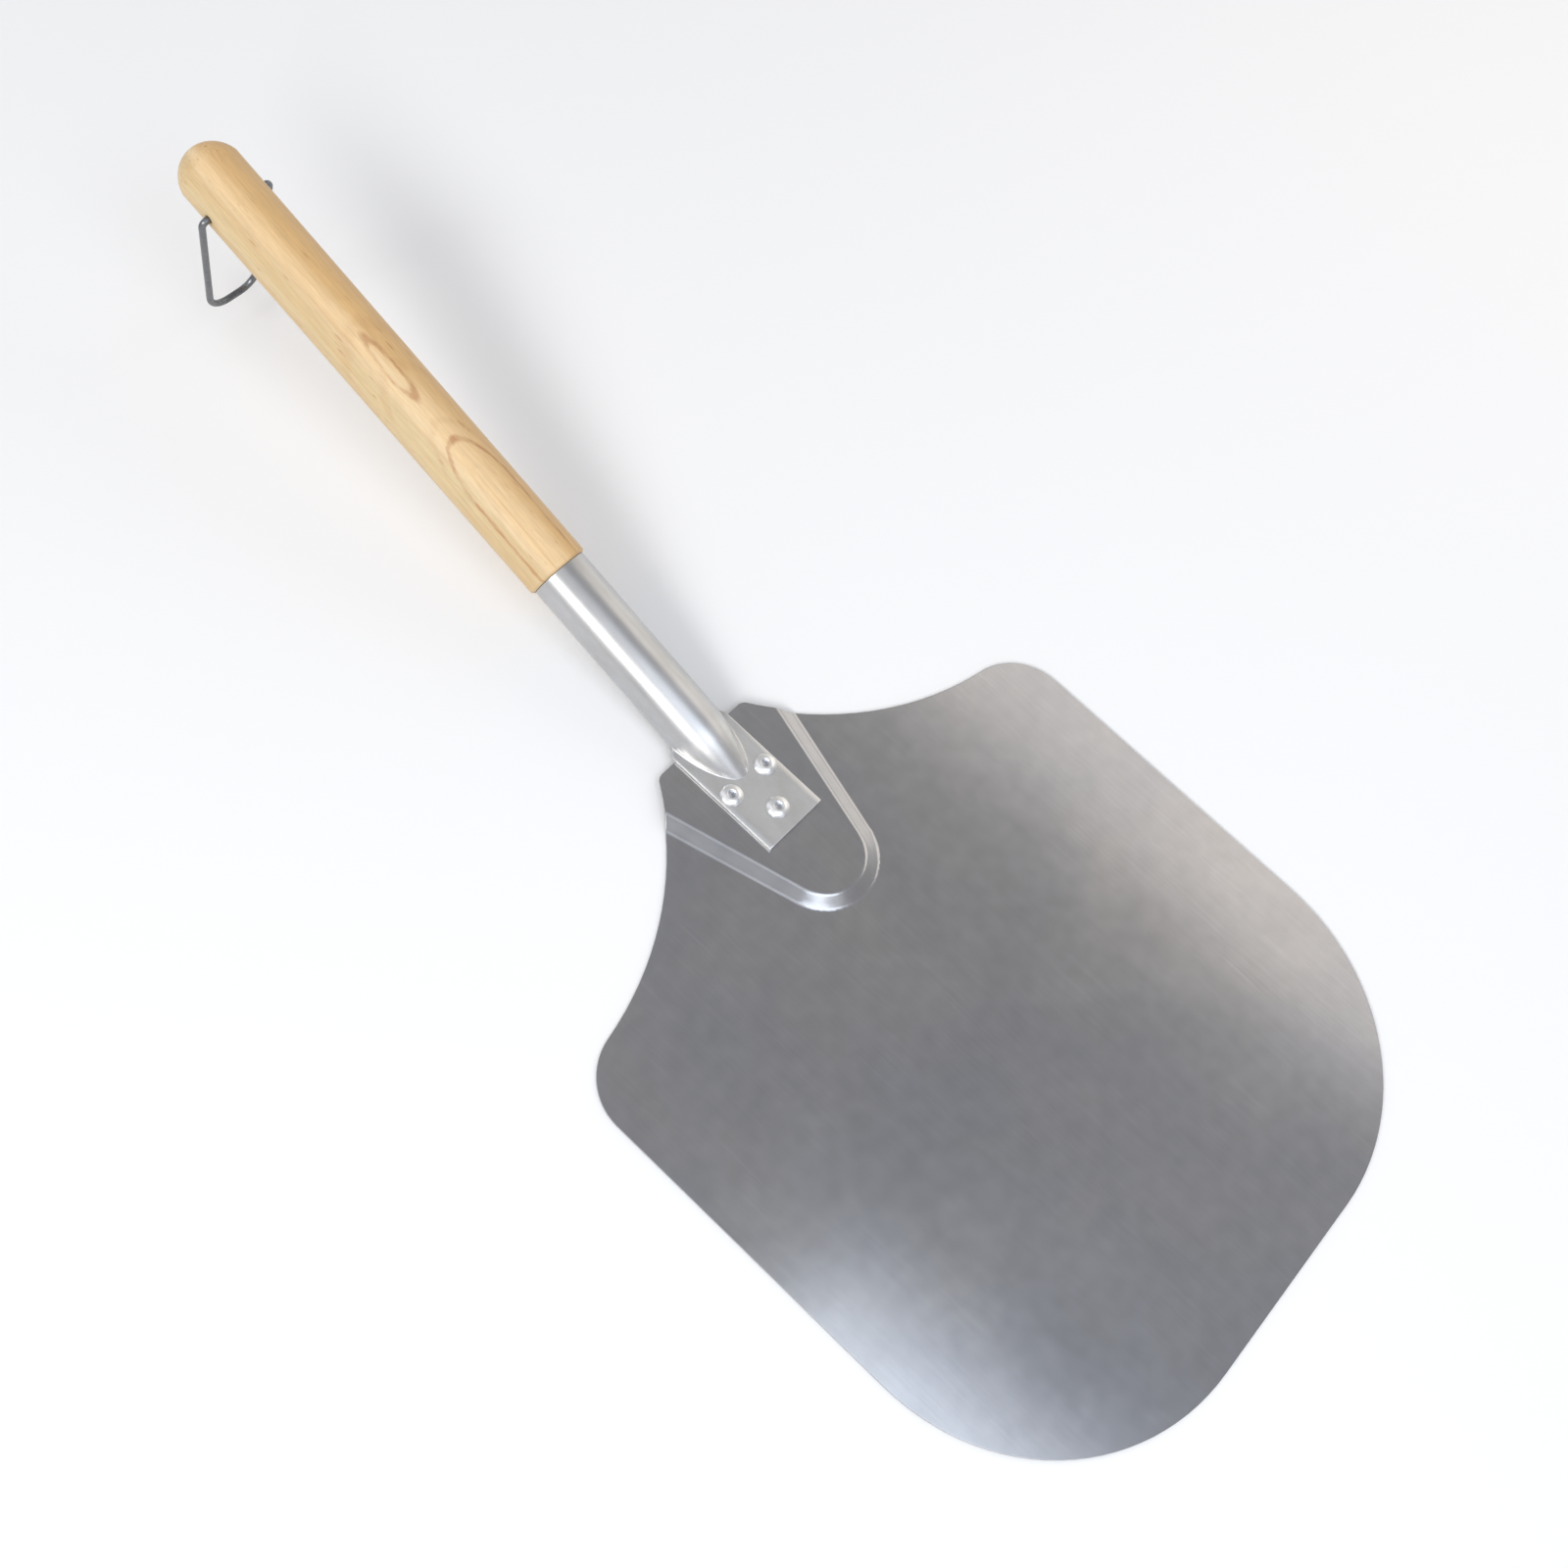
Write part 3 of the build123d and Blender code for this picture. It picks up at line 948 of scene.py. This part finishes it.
def wireSteel(name, colour):
    look = wireLook
    material, tree, shader = newMetal(name)
    grime = noise(tree, objectCoordinates(tree), *look["grime"])
    drawn = noise(tree, objectCoordinates(tree, scale=(1, 1, look["drawnStretch"])), *look["drawn"])
    tone = mixColour(tree, "MULTIPLY", 1, opaque(colour), spread(tree, grime, *look["grimeTone"]))
    tone = mixColour(tree, "MULTIPLY", 1, tone, spread(tree, drawn, *look["drawnTone"]))
    tree.links.new(tone, shader.inputs["Base Color"])
    tree.links.new(spread(tree, grime, *look["rough"]), shader.inputs["Roughness"])
    bump(tree, shader, drawn, *look["drawnBump"])
    return material


# wood: distances in metres along the handle, angles in radians from its top
woodLook = {
    "cream": (0.850, 0.680, 0.435),
    "tan": (0.790, 0.565, 0.310),
    "broad": (0.07, 75, 3, 0.55, 0.3),       # cream and tan, in broad streaks
    "broadEdges": (0.36, 0.64),
    # painted shade: the side away from the key lamp is darker, partly shade and partly a warmer own tone
    "paintedShadeSide": (0.660, 0.380, 0.130),
    "paintedShadeFade": (0.10, -0.45, 0, 0.7),
    "paintedShadeLean": (0.16, 0.26, 0, 0.45),       # the painted shade of the dark side creeps over the top further back
    # painted shade: the lamp-lit side is multiplied darker
    "litSideShade": (0.76, 0.73, 0.65),
    "litSideShadeFade": (0.40, 0.80),
    "streak": (0.600, 0.370, 0.165),
    "streaks": (0.03, 420, 3, 0.6),
    "streakFade": (0.54, 0.74, 0, 0.55),
    "fibres": (0.07, 1300, 4, 0.65),
    "fibreTone": (0.86, 1.10),
    "fibreBump": (0.10, 0.0001),
    "rough": (0.38, 0.50),
    "line": (0.430, 0.190, 0.070),           # of the figure, the flecks and the end grain
    "figureWeight": 0.72,
    "figureBump": (0.12, 0.0001),
    "lineFade": (0.4, 2),                    # shares of a line's width at which it is full, and gone
    "wander": (0.25, 55, 2, 0.5), "wanderTurn": 0.34,
    "ripple": (0.45, 330, 3, 0.6), "rippleTurn": 0.13,
    "drift": 0.03,
    "patches": (0.4, 190, 3, 0.6), "patchFade": (0.34, 0.62, 0.30, 1),
    "arch": {"apex": 0.168, "run": 0.030, "middle": 0.19, "left": 0.76, "right": 0.70, "width": 0.045},
    "faintRings": ((-0.50, 0.04, 0.14), (0.34, 0.05, 0.18), (1.35, 0.08, 0.26), (2.1, 0.10, 0.22)),
    "knot": {
        "middle": 0.2085, "halfLength": 0.0165, "turn": 0.185, "halfTurn": 0.185,
        "width": 0.17, "weight": 0.95, "clearing": (0.15, 0.6, 0.15, 1),
    },
    "flecks": (0.16, 420, 0.10, 0.24),       # spots: stretch, scale, and the distances at which they fade
    "fleckPatches": (0.4, 300, 2), "fleckPatchFade": (0.48, 0.62), "fleckWeight": 0.55,
    "endSpecks": (1, 260, 0.08, 0.22),
    "endDepths": (0.022, 0.004), "endWeight": 0.6,
}


def lineAt(tree, value, place, width):         # 1 on the line, fading to both sides
    full, gone = woodLook["lineFade"]
    away = maths(tree, "ABSOLUTE", maths(tree, "SUBTRACT", value, place))
    return fade(tree, away, width * full, width * gone, 1, 0)


def lengthOf(tree, first, second):
    joined = node(tree, "ShaderNodeCombineXYZ")
    tree.links.new(first, joined.inputs["X"])
    tree.links.new(second, joined.inputs["Y"])
    length = node(tree, "ShaderNodeVectorMath", operation="LENGTH")
    tree.links.new(joined.outputs["Vector"], length.inputs["Vector"])
    return length.outputs["Value"]


def archRings(tree, turn, back):       # the long arch of grain that opens towards the tube: 0 on its line
    arch = woodLook["arch"]
    away = maths(tree, "SUBTRACT", turn, arch["middle"])
    left = maths(tree, "DIVIDE", maths(tree, "MAXIMUM", away, 0), arch["left"])
    right = maths(tree, "DIVIDE", maths(tree, "MINIMUM", away, 0), arch["right"])
    side = maths(tree, "ADD", left, maths(tree, "ABSOLUTE", right))
    ahead = maths(tree, "DIVIDE", maths(tree, "SUBTRACT", back, arch["apex"] - arch["run"]), arch["run"])
    return maths(tree, "SUBTRACT", lengthOf(tree, side, maths(tree, "MAXIMUM", ahead, 0)), 1)


def knotRings(tree, turn, back):       # the small closed figure behind the arch: 0 on its line
    knot = woodLook["knot"]
    across = maths(tree, "DIVIDE", maths(tree, "SUBTRACT", turn, knot["turn"]), knot["halfTurn"])
    along = maths(tree, "DIVIDE", maths(tree, "SUBTRACT", back, knot["middle"]), knot["halfLength"])
    return maths(tree, "SUBTRACT", lengthOf(tree, across, along), 1)


def eitherWay(tree, pattern, amount):  # a 0 to 1 pattern as a shift to both sides
    return maths(tree, "MULTIPLY", maths(tree, "SUBTRACT", pattern, 0.5), amount)


# turn from the top and distance back, both wandering, and then the plain distance
def grainPlace(tree):
    look = woodLook
    x, y, back = tubeParts(tree)
    wander = eitherWay(tree, tubeNoise(tree, *look["wander"]), look["wanderTurn"])
    ripple = eitherWay(tree, tubeNoise(tree, *look["ripple"]), look["rippleTurn"])
    shift = maths(tree, "ADD", wander, ripple)
    turn = maths(tree, "ADD", maths(tree, "ARCTAN2", x, y), shift)
    return turn, maths(tree, "ADD", back, maths(tree, "MULTIPLY", shift, look["drift"])), back


def woodFigure(tree, turn, back):      # how dark the figure is, from 0 to 1
    look = woodLook
    knotLook = look["knot"]
    arch = archRings(tree, turn, back)
    knot = knotRings(tree, turn, back)
    figure = lineAt(tree, arch, 0, look["arch"]["width"])
    for place, width, weight in look["faintRings"]:
        faint = maths(tree, "MULTIPLY", lineAt(tree, arch, place, width), weight)
        figure = maths(tree, "MAXIMUM", figure, faint)
    figure = maths(tree, "MULTIPLY", figure, fade(tree, knot, *knotLook["clearing"]))
    closed = maths(tree, "MULTIPLY", lineAt(tree, knot, 0, knotLook["width"]), knotLook["weight"])
    figure = maths(tree, "MAXIMUM", figure, closed)
    patches = fade(tree, tubeNoise(tree, *look["patches"]), *look["patchFade"])
    return maths(tree, "MULTIPLY", figure, patches)


def tubeSpots(tree, stretch, scale, full, gone):         # 1 in the middle of each spot
    spots = node(tree, "ShaderNodeTexVoronoi", Scale=scale)
    tree.links.new(onTube(tree, (1, 1, stretch)), spots.inputs["Vector"])
    return fade(tree, spots.outputs["Distance"], full, gone, 1, 0)


def woodToneAndSideShade(tree, turn, back):        # cream and tan streaks of the wood's own colour, then painted shade: darker to one side, partly a warmer own tone there, and toned down on the lamp-lit side
    look = woodLook
    broad = tubeNoise(tree, *look["broad"])
    colour = ramp(tree, broad, list(zip(look["broadEdges"], (look["cream"], look["tan"]))))
    lean = maths(tree, "SUBTRACT", turn, fade(tree, back, *look["paintedShadeLean"]))
    # painted shade on both sides, set by the turn around the handle
    dark, litSideShading = fade(tree, lean, *look["paintedShadeFade"]), fade(tree, turn, *look["litSideShadeFade"])
    colour = mixColour(tree, "MIX", dark, colour, opaque(look["paintedShadeSide"]))
    return mixColour(tree, "MULTIPLY", litSideShading, colour, opaque(look["litSideShade"]))


def woodFlecks(tree):
    look = woodLook
    patches = fade(tree, tubeNoise(tree, *look["fleckPatches"]), *look["fleckPatchFade"])
    return maths(tree, "MULTIPLY", tubeSpots(tree, *look["flecks"]), patches)


def endGrain(tree, back):
    look = woodLook
    start, full = (handleEnd - depth for depth in look["endDepths"])
    return maths(tree, "MULTIPLY", tubeSpots(tree, *look["endSpecks"]), fade(tree, back, start, full))


def beechWood():
    look = woodLook
    material, tree, shader = newMaterial("beechWood")
    turn, grainBack, back = grainPlace(tree)
    figure = woodFigure(tree, turn, grainBack)
    fibres = tubeNoise(tree, *look["fibres"])
    streaks = tubeNoise(tree, *look["streaks"])
    colour = woodToneAndSideShade(tree, turn, back)
    streaked = fade(tree, streaks, *look["streakFade"])
    colour = mixColour(tree, "MIX", streaked, colour, opaque(look["streak"]))
    colour = mixColour(tree, "MULTIPLY", 1, colour, spread(tree, fibres, *look["fibreTone"]))
    darkMarks = (
        (figure, look["figureWeight"]),
        (woodFlecks(tree), look["fleckWeight"]),
        (endGrain(tree, back), look["endWeight"]),
    )
    for mark, weight in darkMarks:
        shown = maths(tree, "MULTIPLY", mark, weight)
        colour = mixColour(tree, "MIX", shown, colour, opaque(look["line"]))
    tree.links.new(colour, shader.inputs["Base Color"])
    tree.links.new(spread(tree, streaks, *look["rough"]), shader.inputs["Roughness"])
    first = bump(tree, shader, fibres, *look["fibreBump"])
    bump(tree, shader, figure, *look["figureBump"], before=first)
    return material


# all the pieces
makeBlade(rolledSheet())
makeSocket(drawnTube())
makeRivets(rivetMetal())
makeHandle(beechWood())
makePin(wireSteel("pinSteel", wireLook["pinColour"]))
makeLoop(wireSteel("loopSteel", wireLook["loopColour"]))
